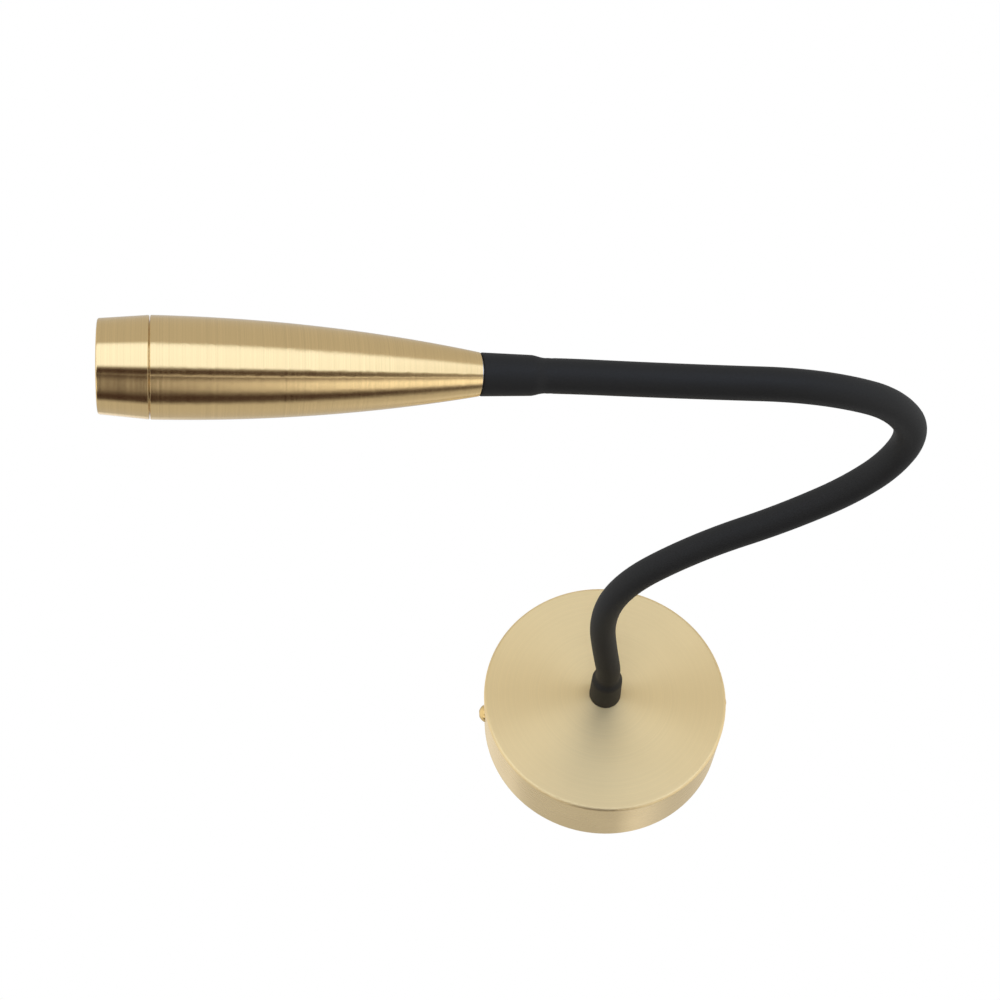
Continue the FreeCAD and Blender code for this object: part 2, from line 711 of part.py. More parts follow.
def last_sleeve(start):
    """The sleeve from the last pivot to the head's tail, which it stops just short of."""
    cuff, length = collar(HEAD_COLLAR_DIAMETER, HEAD_COLLAR_NECK, HEAD_FERRULE_DIAMETER)
    cuff.rotate(ORIGIN, ACROSS, 180)
    mouth = cuff.cut(rod(HEAD_COLLAR_DIAMETER, -COLLAR_TO_HEAD, OVERRUN))
    rest = hose_layer(start, ARM_LENGTH - length, HOSE_RADIUS, FLEX_TUBE_RADIUS, True, False)
    return joined([rest, on_head(mouth)])


def hose_wires(first, last, from_pivot, to_pivot):
    """The two wires of one link, side by side in the bore.  They stop short of the pivots' turning."""
    wires = []
    for side in (-1, 1):
        wire = arm_bar(first, last, WIRE_DIAMETER / 2, aside=side * WIRE_SPACING / 2)
        if from_pivot:
            wire = hollowed_for_pivot(wire, first)
        if to_pivot:
            wire = wire.cut(Part.makeSphere(HOSE_RADIUS - WIRE_PIVOT_GAP, arm_at(last)[0]))
        wires.append(wire)
    return group(wires)


def hose_pieces():
    """The sleeve, the wound tube and the wires, link by link, from the canopy to the head."""
    pieces = {}
    stations = [0.0] + pivots() + [float(ARM_LENGTH)]
    for i, (first, last) in enumerate(zip(stations, stations[1:])):
        at_wall = i == 0
        at_head = i == PIVOT_COUNT
        if at_wall:
            sleeve = first_sleeve(last)
        elif at_head:
            sleeve = last_sleeve(first)
        else:
            sleeve = hose_layer(first, last, HOSE_RADIUS, FLEX_TUBE_RADIUS, True, True)
        low = FERRULE_FLOOR if at_wall else first
        high = ARM_LENGTH - FERRULE_FLOOR if at_head else last
        pieces["hose_sleeve_%02d" % i] = sleeve
        pieces["flex_tube_%02d" % i] = hose_layer(low, high, FLEX_TUBE_RADIUS, FLEX_TUBE_BORE / 2,
                                                 not at_wall, not at_head)
        pieces["hose_wires_%02d" % i] = hose_wires(first, last, not at_wall, not at_head)
    return pieces


# ---------------------------------------------------------------- head

def shell_radius(height):
    """The shell's outside radius: one arc, widest near the seam."""
    rise = (HEAD_DIAMETER - HEAD_TAIL_DIAMETER) / 2
    arc_radius = (HEAD_WIDEST_AT ** 2 + rise ** 2) / (2 * rise)
    return HEAD_RADIUS - arc_radius + math.sqrt(arc_radius ** 2 - (height - HEAD_WIDEST_AT) ** 2)


def head_ferrule():
    """The fitting at the gooseneck's other end: a cup for the wound tube, and a stem into the head."""
    ferrule = joined([rod(HEAD_FERRULE_DIAMETER / 2, -FERRULE_LENGTH, 0),
                      rod(STEM_DIAMETER / 2, 0, HEAD_STEM_LENGTH)])
    ferrule = ferrule.cut(rod(FLEX_TUBE_RADIUS, -FERRULE_LENGTH - OVERRUN, -FERRULE_FLOOR))
    return on_head(drilled(ferrule, STEM_BORE / 2, -FERRULE_FLOOR, HEAD_STEM_LENGTH))


def head_shell():
    """The turned shell, with a spigot at its front that the focusing ring runs on."""
    tail = (HEAD_TAIL_DIAMETER / 2, 0)
    belly_height = SEAM_AT / 2
    chamfer_at = SEAM_AT - SEAM_CHAMFER
    chamfer = (shell_radius(chamfer_at), chamfer_at)
    seam = (shell_radius(SEAM_AT) - SEAM_CHAMFER, SEAM_AT)
    spigot = SPIGOT_DIAMETER / 2
    bore = SHELL_BORE / 2
    stem_hole = STEM_DIAMETER / 2
    taper = SHELL_TAPER_START / 2
    corners = [chamfer, seam, (spigot, SEAM_AT), (spigot, SPIGOT_TIP), (bore, SPIGOT_TIP),
               (bore, SHELL_BORE_FROM), (taper, TAIL_WALL), (stem_hole, TAIL_WALL), (stem_hole, 0), tail]
    outline = [arc(tail, (shell_radius(belly_height), belly_height), chamfer)]
    outline += [line(a, b) for a, b in zip(corners, corners[1:])]
    shell = turned(outline)
    groove_middle = SPIGOT_TIP - SEAL_FROM_SPIGOT_TIP
    groove = tube(SPIGOT_DIAMETER / 2 + OVERRUN, SPIGOT_DIAMETER / 2 - SEAL_GROOVE_DEPTH,
                  groove_middle - SEAL_GROOVE_WIDTH / 2, groove_middle + SEAL_GROOVE_WIDTH / 2)
    return on_head(shell.cut(groove))


def tail_nut():
    """A round slotted nut that pulls the stem tight in the shell's tail."""
    top = TAIL_WALL + TAIL_NUT_HEIGHT
    nut = tube(TAIL_NUT_DIAMETER / 2, STEM_DIAMETER / 2, TAIL_WALL, top)
    slot = block(TAIL_NUT_DIAMETER + OVERRUN, TAIL_NUT_DIAMETER / 6, top - TAIL_NUT_HEIGHT / 2, top + OVERRUN)
    return on_head(nut.cut(slot))


def board_screw_places():
    return [(-BOARD_SCREW_RADIUS, 0), (BOARD_SCREW_RADIUS, 0)]


def heat_sink():
    """A finned plug in the shell's bore that the LED board is screwed to."""
    sink = rod(SHELL_BORE / 2, HEAT_SINK_FROM, HEAT_SINK_FRONT)
    plate_back = HEAT_SINK_FRONT - HEAT_SINK_PLATE
    for i in range(HEAT_SINK_FINS):
        slot = block(SHELL_BORE / 2, HEAT_SINK_SLOT, HEAT_SINK_FROM - OVERRUN, plate_back,
                     HEAT_SINK_CORE + SHELL_BORE / 4)
        slot.rotate(ORIGIN, UP, 360.0 * (i + 0.5) / HEAT_SINK_FINS)
        sink = sink.cut(slot)
    for x, y in board_screw_places():
        thread_end = HEAT_SINK_FRONT - BOARD_SCREW_LENGTH
        sink = sink.cut(rod(BOARD_SCREW / 2, thread_end, HEAT_SINK_FRONT + OVERRUN, x, y))
    return on_head(drilled(sink, STEM_BORE / 2, HEAT_SINK_FROM, HEAT_SINK_FRONT))


def led_board():
    board = rod(BOARD_DIAMETER / 2, HEAT_SINK_FRONT, BOARD_FRONT)
    for x, y in board_screw_places():
        board = drilled(board, BOARD_SCREW / 2, HEAT_SINK_FRONT, BOARD_FRONT, x, y)
    return on_head(board)


def board_screws():
    return group([on_head(pan_screw(BOARD_SCREW, BOARD_SCREW_HEAD, BOARD_SCREW_HEAD_HEIGHT,
                                    HEAT_SINK_FRONT - BOARD_SCREW_LENGTH, BOARD_FRONT, x, y))
                  for x, y in board_screw_places()])


def led_emitter():
    """The LED: a square base with a clear dome."""
    base_top = BOARD_FRONT + LED_SHEET
    base = block(LED_SIDE, LED_SIDE, BOARD_FRONT, base_top)
    dome = Part.makeSphere(LED_DOME, point(0, 0, base_top), UP, 0, 90, 360)
    return on_head(joined([base, dome]))


def head_leads():
    """The two wires through the stem and the heat sink, soldered to the back of the board."""
    wires = []
    for side in (-1, 1):
        wire = rod(WIRE_DIAMETER / 2, 0, HEAT_SINK_FRONT, side * WIRE_SPACING / 2)
        wires.append(on_head(wire))
    return group(wires)


def lens_holder():
    """The carriage: a tube in the shell's bore, and a flange that the ring holds."""
    holder = joined([rod(CARRIAGE_RADIUS, CARRIAGE_BACK, FLANGE_BACK),
                     rod(FLANGE_DIAMETER / 2, FLANGE_BACK, FLANGE_FRONT),
                     rod(SHELL_BORE / 2, FLANGE_FRONT, LENS_BACK)])
    return on_head(drilled(holder, CARRIAGE_BORE / 2, CARRIAGE_BACK, LENS_BACK))


def lens():
    """A domed lens in one piece with the cone that gathers the LED's light."""
    cone_front = CARRIAGE_BORE / 2 - COLLIMATOR_GLUE_LINE
    back = COLLIMATOR_BACK_DIAMETER / 2
    cone = turned_polygon([(0, CARRIAGE_BACK), (back, CARRIAGE_BACK),
                           (cone_front, LENS_BACK), (0, LENS_BACK)])
    solid = joined([cone, rod(SHELL_BORE / 2, LENS_BACK, LENS_FRONT),
                    domed_cap(LENS_DOME_DIAMETER, LENS_DOME, LENS_FRONT)])
    pocket = rod(COLLIMATOR_POCKET / 2, CARRIAGE_BACK - OVERRUN, CARRIAGE_BACK + COLLIMATOR_POCKET_DEPTH)
    return on_head(solid.cut(pocket))


def seal_ring():
    """A rubber ring in the spigot's groove, which makes the focusing ring turn smoothly."""
    section = SEAL_SECTION / 2
    middle = SPIGOT_DIAMETER / 2 - SEAL_GROOVE_DEPTH + section
    return on_head(Part.makeTorus(middle, section, point(0, 0, SPIGOT_TIP - SEAL_FROM_SPIGOT_TIP)))


def retaining_ring():
    """A clip in the focusing ring that draws the carriage along."""
    outer = RING_BORE / 2
    return on_head(tube(outer, outer - RETAINER_WALL, RETAINER_BACK, RETAINER_BACK + RETAINER_SHEET))


def focus_ring():
    """The ring in front of the seam, with a lip round the lens."""
    start = shell_radius(RING_START)
    front = RING_FRONT_DIAMETER / 2
    bore = RING_BORE / 2
    lens_room = SHELL_BORE / 2 + RUNNING_GAP
    window = LENS_WINDOW_DIAMETER / 2
    chamfer_radius = start + (front - start) * SEAM_CHAMFER / RING_LENGTH
    body = turned_polygon([(start - SEAM_CHAMFER, RING_START),
                           (chamfer_radius, RING_START + SEAM_CHAMFER), (front, HEAD_LENGTH),
                           (window, HEAD_LENGTH), (window, LIP_BACK),
                           (lens_room, LIP_BACK), (lens_room, RING_SHOULDER),
                           (bore, RING_SHOULDER), (bore, RING_START)])
    front_edges = [edge for edge in body.Edges if edge.BoundBox.ZMin > HEAD_LENGTH - 1e-6]
    return on_head(body.makeFillet(RING_EDGE, front_edges))


# ---------------------------------------------------------------- all pieces

def pieces():
    made = {
        "canopy": canopy(),
        "mounting_bracket": mounting_bracket(),
        "bracket_ears": bracket_ears(),
        "side_screws": side_screws(),
        "base_ferrule": base_ferrule(),
        "toothed_washer": toothed_washer(),
        "lock_nut": lock_nut(),
        "led_driver": led_driver(),
        "driver_screws": driver_screws(),
        "terminal_block": terminal_block(),
        "terminal_screws": terminal_screws(),
        "earth_terminal": earth_terminal(),
        "mains_leads": mains_leads(),
        "output_leads": output_leads(),
        "head_ferrule": head_ferrule(),
        "head_shell": head_shell(),
        "tail_nut": tail_nut(),
        "heat_sink": heat_sink(),
        "led_board": led_board(),
        "board_screws": board_screws(),
        "led_emitter": led_emitter(),
        "head_leads": head_leads(),
        "lens_holder": lens_holder(),
        "lens": lens(),
        "seal_ring": seal_ring(),
        "retaining_ring": retaining_ring(),
        "focus_ring": focus_ring(),
    }
    made.update(hose_pieces())
    return made


def report_arm():
    """Print the gooseneck's bend radii, and its volume against its section times its length."""
    print("arm length %.0f mm" % ARM_LENGTH)
    print("bend radii", ["%.0f" % run.radius for run in ARM_RUNS if not run.straight])
    section = math.pi * HOSE_RADIUS ** 2
    bar = arm_bar(0, ARM_LENGTH, HOSE_RADIUS)
    print("arm volume %.1f, section times length %.1f" % (bar.Volume, section * ARM_LENGTH))


os.makedirs("parts", exist_ok=True)
for name, shape in pieces().items():
    sound = shape.isValid() and all(solid.isClosed() for solid in shape.Solids)
    verdict = "" if sound else "UNSOUND"
    print("%-18s %d solid(s) %10.2f mm3 %s" % (name, len(shape.Solids), shape.Volume, verdict))
    shape.exportStep("parts/%s.step" % name)
report_arm()
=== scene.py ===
import json
import math
import bmesh
import bpy
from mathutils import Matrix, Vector


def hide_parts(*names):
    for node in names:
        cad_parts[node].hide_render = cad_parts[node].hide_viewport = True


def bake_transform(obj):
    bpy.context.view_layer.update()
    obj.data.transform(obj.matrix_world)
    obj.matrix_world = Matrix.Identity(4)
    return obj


# Looks for the bedside wall reading lamp, in metres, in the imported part's own frame: the origin is
# the middle of the canopy's back on the wall, -Y is into the room, +X to the right and +Z up.

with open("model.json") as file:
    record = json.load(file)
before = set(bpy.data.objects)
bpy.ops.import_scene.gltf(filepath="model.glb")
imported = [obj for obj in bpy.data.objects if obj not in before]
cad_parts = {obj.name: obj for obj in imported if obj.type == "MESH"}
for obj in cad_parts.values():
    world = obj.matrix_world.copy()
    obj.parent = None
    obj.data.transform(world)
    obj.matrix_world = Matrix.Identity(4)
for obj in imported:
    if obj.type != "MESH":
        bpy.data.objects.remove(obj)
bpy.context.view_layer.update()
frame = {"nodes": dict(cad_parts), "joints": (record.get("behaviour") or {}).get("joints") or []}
nodes = frame["nodes"]
MM = 0.001

# ---------------------------------------------------------------- places

UP = Vector((0, 0, 1))
ORIGIN = (0, 0, 0)
OUT_OF_WALL = (0, -1, 0)
RIGHT = (1, 0, 0)
CANOPY_HEIGHT = 27.3 * MM
HOSE_RADIUS = 4.9 * MM

# A run that turns by less than this angle is straight.
STRAIGHT = 1e-6

# The gooseneck's centreline from the canopy's face to the head: each run's length in millimetres,
# then its heading round the vertical and its climb at its end, in degrees.
ARM_ROUTE = [
    (18, -90, 0),
    (10, -99, 2),
    (22, -97, 2),
    (26, -80, -2),
    (31, -46, 2),
    (37, -35, 0),
    (31, -44, 0),
    (18, -56, 1),
    (15, -75, 3),
    (18, -123, -6),
    (20, -148, -9),
    (36, -176, -1),
    (47, -168, -6),
    (16, -169, -7),
    (18, -169, -7),
]
ARM_LENGTH = sum(run[0] for run in ARM_ROUTE) * MM

# It leaves the canopy square to its face.
ARM_START = (-90, 0)


def heading(round_vertical, climb):
    """The unit vector with this heading and climb, in degrees."""
    flat = math.cos(math.radians(climb))
    across = math.radians(round_vertical)
    return Vector((flat * math.cos(across), flat * math.sin(across), math.sin(math.radians(climb))))


def run_at(start, ahead, end_ahead, length, distance):
    """The point and direction some way along a run that turns evenly from one direction to
    another."""
    turn = ahead.angle(end_ahead, 0.0)
    if turn < STRAIGHT:
        return start + ahead * distance, ahead
    radius = length / turn
    side = (end_ahead - ahead * ahead.dot(end_ahead)).normalized()
    angle = distance / radius
    place = start + side * radius * (1 - math.cos(angle)) + ahead * radius * math.sin(angle)
    return place, ahead * math.cos(angle) + side * math.sin(angle)


def arm_runs():
    """Each run's start, its directions there and at its end, and its length."""
    runs = []
    start = Vector((0, -CANOPY_HEIGHT, 0))
    ahead = heading(*ARM_START)
    for length, round_vertical, climb in ARM_ROUTE:
        end_ahead = heading(round_vertical, climb)
        runs.append((start, ahead, end_ahead, length * MM))
        start, ahead = run_at(start, ahead, end_ahead, length * MM, length * MM)
    return runs


ARM_RUNS = arm_runs()


def arm_at(distance):
    """The centreline's point and direction, that far from the canopy's face.  The last run goes on
    beyond its end."""
    for start, ahead, end_ahead, length in ARM_RUNS:
        if distance <= length:
            break
        distance -= length
    else:
        distance += length
    return run_at(start, ahead, end_ahead, length, distance)


HEAD_TAIL, HEAD_AXIS = arm_at(ARM_LENGTH)

# ---------------------------------------------------------------- camera

CAMERA_PLACE = Vector((-0.0442, -0.5544, -0.2423))
CAMERA_AHEAD = Vector((0.0013, 0.8421, 0.5393))
CAMERA_LENS = 50.0
CAMERA_SENSOR = 36.0
NEAR_CLIP = 0.01


def make_camera():
    """The photograph's view: from in front of the wall and well below the lamp."""
    data = bpy.data.cameras.new("camera")
    data.lens = CAMERA_LENS
    data.sensor_width = CAMERA_SENSOR
    data.clip_start = NEAR_CLIP
    camera = bpy.data.objects.new("camera", data)
    camera.location = CAMERA_PLACE
    camera.rotation_euler = CAMERA_AHEAD.to_track_quat("-Z", "Y").to_euler()
    bpy.context.scene.collection.objects.link(camera)
    bpy.context.scene.camera = camera


make_camera()

# ---------------------------------------------------------------- materials

# Most of a noise texture lies between the first two values, and its streaks between the others.
NOISE_RANGE = (0.3, 0.7)
STREAK_RANGE = (0.35, 0.65)


class Nodes:
    """A small helper that builds one material's or world's node tree."""

    def __init__(self, owner):
        owner.use_nodes = True
        self.tree = owner.node_tree
        self.tree.nodes.clear()

    def add(self, kind, **inputs):
        """A new node, with its inputs set or linked by name."""
        node = self.tree.nodes.new(kind)
        for name, value in inputs.items():
            self.put(value, node.inputs[name.replace("_", " ")])
        return node

    def put(self, value, socket):
        """Link an output to a socket, or set the socket to a plain value."""
        if isinstance(value, bpy.types.NodeSocket):
            self.tree.links.new(value, socket)
        else:
            socket.default_value = value

    def fill(self, kind, values):
        """A new node, with its first inputs set or linked in order."""
        node = self.tree.nodes.new(kind)
        for socket, value in zip(node.inputs, values):
            self.put(value, socket)
        return node

    def math(self, operation, *values):
        """A number worked out from one or two others."""
        node = self.fill("ShaderNodeMath", values)
        node.operation = operation
        return node.outputs[0]

    def vector(self, operation, *values):
        """A vector worked out from others, or for a length or a dot product a number."""
        node = self.fill("ShaderNodeVectorMath", values)
        node.operation = operation
        return node.outputs["Value" if operation in ("LENGTH", "DOT_PRODUCT") else "Vector"]

    def scaled(self, vector, factor):
        """A vector times a number."""
        node = self.add("ShaderNodeVectorMath", Vector=vector)
        node.operation = "SCALE"
        self.put(factor, node.inputs["Scale"])
        return node.outputs["Vector"]

    @staticmethod
    def colour_socket(sockets, name):
        """A mix node has a socket of each name for each kind of value: the one for colour."""
        return next(socket for socket in sockets if socket.name == name and socket.type == "RGBA")

    def mix(self, factor, first, second):
        """A mix of two colours, each an output or three or four numbers."""
        node = self.tree.nodes.new("ShaderNodeMix")
        node.data_type = "RGBA"
        self.put(factor, node.inputs["Factor"])
        for value, name in ((first, "A"), (second, "B")):
            if not isinstance(value, bpy.types.NodeSocket) and len(value) == 3:
                value = (*value, 1)
            self.put(value, self.colour_socket(node.inputs, name))
        return self.colour_socket(node.outputs, "Result")

    def noise(self, place, scale, detail, roughness):
        """Noise with this many waves per metre."""
        return self.add("ShaderNodeTexNoise", Vector=place, Scale=scale, Detail=detail,
                        Roughness=roughness).outputs["Fac"]

    def place(self):
        """A point's place in the part's frame, in metres."""
        return self.add("ShaderNodeTexCoord").outputs["Object"]

    def map(self, value, low, high, to_low, to_high):
        """A value's range drawn out to another range, and held at its ends."""
        node = self.fill("ShaderNodeMapRange", (value, low, high, to_low, to_high))
        node.clamp = True
        return node.outputs[0]

    def graded(self, noise, to_low, to_high):
        """Noise drawn out to a range."""
        return self.map(noise, *NOISE_RANGE, to_low, to_high)

    def between(self, value, low, high, edge):
        """1 between two values and 0 beyond them, with soft edges."""
        rise = self.map(value, low - edge, low + edge, 0.0, 1.0)
        return self.math("MULTIPLY", rise, self.map(value, high - edge, high + edge, 1.0, 0.0))


def grey(value):
    """A grey with full alpha."""
    return (value, value, value, 1)


def darker(colour, share):
    """This share of a colour."""
    return tuple(share * c for c in colour)


def surface(name, **settings):
    """A new material with a Principled shader, as its node helper and that shader."""
    material = bpy.data.materials.new(name)
    made = Nodes(material)
    shader = made.add("ShaderNodeBsdfPrincipled", **settings)
    made.add("ShaderNodeOutputMaterial", Surface=shader.outputs["BSDF"])
    return material, made, shader


def bumped(made, shader, height, distance):
    """Give a shader relief of this depth, in metres."""
    bump = made.add("ShaderNodeBump", Height=height, Distance=distance, Strength=1.0)
    made.put(bump.outputs["Normal"], shader.inputs["Normal"])


def round_axis(made, place, centre, axis):
    """How far along an axis a place is, how far out from it, and the vector out to it."""
    offset = made.vector("SUBTRACT", place, tuple(centre))
    along = made.vector("DOT_PRODUCT", offset, tuple(axis))
    outward = made.vector("SUBTRACT", offset, made.scaled(tuple(axis), along))
    return along, made.vector("LENGTH", outward), outward


# The brushing's rings, in waves per metre, and how much they and the lacquer vary.
FINE_BRUSHING = 3600.0
WIDE_BRUSHING = 1900.0
LACQUER_CLOUDS = 30.0
RING_SHADE = 0.90
CLOUD_SHADE = 0.94
CLOUD_SHARE = 0.4
RING_SPREAD = 0.03
CLOUD_SPREAD = 0.02
FINE_RELIEF = 0.3

# The highlight is stretched across the rings: a quarter of a turn from their tangent.
QUARTER_TURN = 0.25


def brushed_brass(name, centre, axis, colour, rough, anisotropic, relief, streaks):
    """Brass brushed in a lathe: fine rings round an axis, with a lacquer's slight unevenness.  The
    roughness is one number, or two places along the axis and the roughness at each.  Streaks is
    how strongly the rings differ, from 0 to 1."""
    material, made, shader = surface(name, Metallic=1.0, Anisotropic=anisotropic,
                                     Anisotropic_Rotation=QUARTER_TURN)
    place = made.place()
    along, radius, outward = round_axis(made, place, centre, axis)
    rings = made.add("ShaderNodeCombineXYZ", X=along, Y=radius).outputs["Vector"]
    fine = made.noise(rings, FINE_BRUSHING, 2.0, 0.6)
    wide = made.noise(rings, WIDE_BRUSHING, 3.0, 0.6)
    cloud = made.noise(place, LACQUER_CLOUDS, 3.0, 0.6)
    ring_share = made.map(fine, *STREAK_RANGE, 1.0 - streaks, 1.0)
    cloud_share = made.map(cloud, *STREAK_RANGE, 0.0, CLOUD_SHARE)
    shade = made.mix(ring_share, darker(colour, RING_SHADE), colour)
    made.put(made.mix(cloud_share, shade, darker(colour, CLOUD_SHADE)), shader.inputs["Base Color"])
    spread = RING_SPREAD * streaks
    uneven = made.math("ADD", made.graded(wide, -spread, spread),
                       made.graded(cloud, -CLOUD_SPREAD, CLOUD_SPREAD))
    base = made.map(along, *rough) if isinstance(rough, tuple) else rough
    made.put(made.math("ADD", uneven, base), shader.inputs["Roughness"])
    bumped(made, shader, made.math("ADD", made.math("MULTIPLY", fine, FINE_RELIEF), wide), relief)
    made.put(made.vector("CROSS_PRODUCT", tuple(axis), outward), shader.inputs["Tangent"])
    return material


# Each grain in waves per metre, its relief in metres, its darkest shade as a share of the colour,
# and how far it changes the roughness.
METAL_GRAIN = 900.0
METAL_RELIEF = 1.0e-6
METAL_SHADE = 0.9
METAL_SMOOTHER = 0.04
METAL_ROUGHER = 0.06
PLASTIC_GRAIN = 2500.0
PLASTIC_RELIEF = 4.0e-6
PLASTIC_CLOUDS = 60.0
PLASTIC_SHADE = 0.92
PLASTIC_UNEVEN = 0.05
WIRE_RELIEF = 3.0e-6
WIRE_SHADE = 0.85
WIRE_ROUGHNESS = (0.38, 0.48)
LENS_RIPPLE = 700.0
LENS_RELIEF = 6.0e-6
PHOSPHOR_SPECKLE = 4000.0


def plain_metal(name, colour, rough, grain_scale=METAL_GRAIN, relief=METAL_RELIEF):
    """A plated or machined metal with a fine grain."""
    material, made, shader = surface(name, Metallic=1.0)
    grain = made.noise(made.place(), grain_scale, 4.0, 0.6)
    made.put(made.mix(grain, darker(colour, METAL_SHADE), colour), shader.inputs["Base Color"])
    uneven = made.graded(grain, rough - METAL_SMOOTHER, rough + METAL_ROUGHER)
    made.put(uneven, shader.inputs["Roughness"])
    bumped(made, shader, grain, relief)
    return material


def moulded(name, colour, rough, grain_scale=PLASTIC_GRAIN, relief=PLASTIC_RELIEF, specular=0.5):
    """A moulded plastic or rubber with a fine matte grain."""
    material, made, shader = surface(name, Specular_IOR_Level=specular)
    place = made.place()
    grain = made.noise(place, grain_scale, 3.0, 0.6)
    cloud = made.noise(place, PLASTIC_CLOUDS, 2.0, 0.5)
    made.put(made.mix(cloud, darker(colour, PLASTIC_SHADE), colour), shader.inputs["Base Color"])
    uneven = made.graded(grain, rough - PLASTIC_UNEVEN, rough + PLASTIC_UNEVEN)
    made.put(uneven, shader.inputs["Roughness"])
    bumped(made, shader, grain, relief)
    return material


def insulation(name, direction, colours, limits=()):
    """Wire insulation: each wire's colour goes by how far along a direction it lies, and changes
    to the next at each limit."""
    material, made, shader = surface(name)
    place = made.place()
    grain = made.noise(place, PLASTIC_GRAIN, 3.0, 0.6)
    reach = made.vector("DOT_PRODUCT", place, direction)
    shades = [made.mix(grain, darker(colour, WIRE_SHADE), colour) for colour in colours]
    shade = shades[0]
    for limit, beyond in zip(limits, shades[1:]):
        shade = made.mix(made.math("GREATER_THAN", reach, limit), shade, beyond)
    made.put(shade, shader.inputs["Base Color"])
    made.put(made.graded(grain, *WIRE_ROUGHNESS), shader.inputs["Roughness"])
    bumped(made, shader, grain, WIRE_RELIEF)
    return material


def clear_lens():
    """Clear moulded lens: transparent, with a faint moulded ripple."""
    material, made, shader = surface("clear_lens", Base_Color=(0.98, 0.99, 1.0, 1), Roughness=0.04,
                                     Transmission_Weight=1.0, IOR=1.49)
    bumped(made, shader, made.noise(made.place(), LENS_RIPPLE, 2.0, 0.5), LENS_RELIEF)
    return material


def led_phosphor():
    """The LED's yellow phosphor under its clear silicone."""
    material, made, shader = surface("led_phosphor", Roughness=0.2, Coat_Weight=1.0,
                                     Coat_Roughness=0.05)
    speckle = made.noise(made.place(), PHOSPHOR_SPECKLE, 2.0, 0.5)
    made.put(made.mix(speckle, (0.86, 0.62, 0.12), (0.93, 0.76, 0.25)), shader.inputs["Base Color"])
    return material


BRASS = (0.83, 0.61, 0.30)
CANOPY_BRASS = (0.97, 0.752, 0.397)
BROWN = (0.15, 0.055, 0.02)
BLUE = (0.02, 0.12, 0.55)
EARTH_GREEN = (0.30, 0.48, 0.04)
RED = (0.55, 0.02, 0.015)
BLACK = (0.02, 0.02, 0.021)

# The canopy is smoother on its rim than on its face: two places along its axis and the roughness
# at each.
CANOPY_ROUGHNESS = (25.6 * MM, 26.2 * MM, 0.27, 0.47)

# The mains wires slant from the terminal block to the driver, and lie apart only along this
# direction.  Each limit is a place between two wires.
MAINS_ROW = (1, 0, 0.326)
BROWN_TO_BLUE = -9 * MM
BLUE_TO_GREEN = 0.0
RED_TO_BLACK = 0.0

canopy_brass = brushed_brass("canopy_brass", ORIGIN, OUT_OF_WALL, CANOPY_BRASS, CANOPY_ROUGHNESS,
                             anisotropic=0.82, relief=0.6e-6, streaks=0.4)
head_brass = brushed_brass("head_brass", HEAD_TAIL, HEAD_AXIS, BRASS, 0.21,
                           anisotropic=1.0, relief=1.8e-5, streaks=1.0)
polished_brass = plain_metal("polished_brass", (0.90, 0.64, 0.27), 0.10, 300.0, 0.3e-6)
zinc = plain_metal("zinc", (0.72, 0.73, 0.74), 0.34)
wound_steel = plain_metal("wound_steel", (0.50, 0.51, 0.53), 0.38)
aluminium = plain_metal("aluminium", (0.77, 0.78, 0.79), 0.30)
black_aluminium = plain_metal("black_aluminium", (0.03, 0.03, 0.033), 0.42)
silicone = moulded("silicone", (0.010, 0.010, 0.010), 0.66, 2600.0, 5.0e-6, specular=0.36)
rubber = moulded("rubber", (0.018, 0.018, 0.018), 0.7)
white_plastic = moulded("white_plastic", (0.80, 0.80, 0.78), 0.42)
board_white = moulded("board_white", (0.84, 0.84, 0.82), 0.35)
mains_wires = insulation("mains_wires", MAINS_ROW, (BROWN, BLUE, EARTH_GREEN),
                         (BROWN_TO_BLUE, BLUE_TO_GREEN))
lamp_wires = insulation("lamp_wires", RIGHT, (RED, BLACK), (RED_TO_BLACK,))
hidden_wires = insulation("hidden_wires", RIGHT, (BLACK,))
lens_clear = clear_lens()
phosphor = led_phosphor()


def paint(material, *names):
    """Give these nodes a material."""
    for name in names:
        data = nodes[name].data
        data.materials.clear()
        data.materials.append(material)


paint(canopy_brass, "canopy")
paint(head_brass, "head_shell", "focus_ring")
paint(polished_brass, "side_screws")
paint(zinc, "mounting_bracket", "bracket_ears", "toothed_washer", "lock_nut", "driver_screws",
      "terminal_screws", "earth_terminal", "board_screws", "retaining_ring", "base_ferrule",
      "head_ferrule", "tail_nut")
paint(white_plastic, "led_driver", "terminal_block")
paint(board_white, "led_board")
paint(aluminium, "heat_sink")
paint(black_aluminium, "lens_holder")
paint(lens_clear, "lens")
paint(phosphor, "led_emitter")
paint(rubber, "seal_ring")
paint(mains_wires, "mains_leads")
paint(lamp_wires, "output_leads")
paint(hidden_wires, "head_leads")
links = [name[-2:] for name in sorted(nodes) if name.startswith("hose_sleeve_")]
for link in links:
    paint(silicone, "hose_sleeve_" + link)
    paint(wound_steel, "flex_tube_" + link)
    paint(hidden_wires, "hose_wires_" + link)

# ---------------------------------------------------------------- the gooseneck's sleeve

# The sleeve is stretched over a ferrule at each end: a collar from its mouth to its neck, then a
# shoulder down to the hose, then wrinkles.
FERRULE_LENGTH = 14.0 * MM
SHOULDER_LENGTH = 3.8 * MM
BASE_COLLAR = (6.5 * MM, 6.15 * MM)
HEAD_COLLAR = (5.95 * MM, 5.6 * MM)
COLLAR_TO_HEAD = 0.4 * MM
COLLAR_ROUND = 0.5 * MM
MOUTH_STEPS = (0.0, 0.05, 0.2, 0.5, 1.0)
SLEEVE_END = ARM_LENGTH - COLLAR_TO_HEAD
SLEEVE_SIDES = 48
RING_STEP = 0.9 * MM
SLEEVE_WALL = 0.8 * MM
WRINKLES = 3
WRINKLE_PITCH = 1.5 * MM
WRINKLE_DEPTH = 0.13 * MM

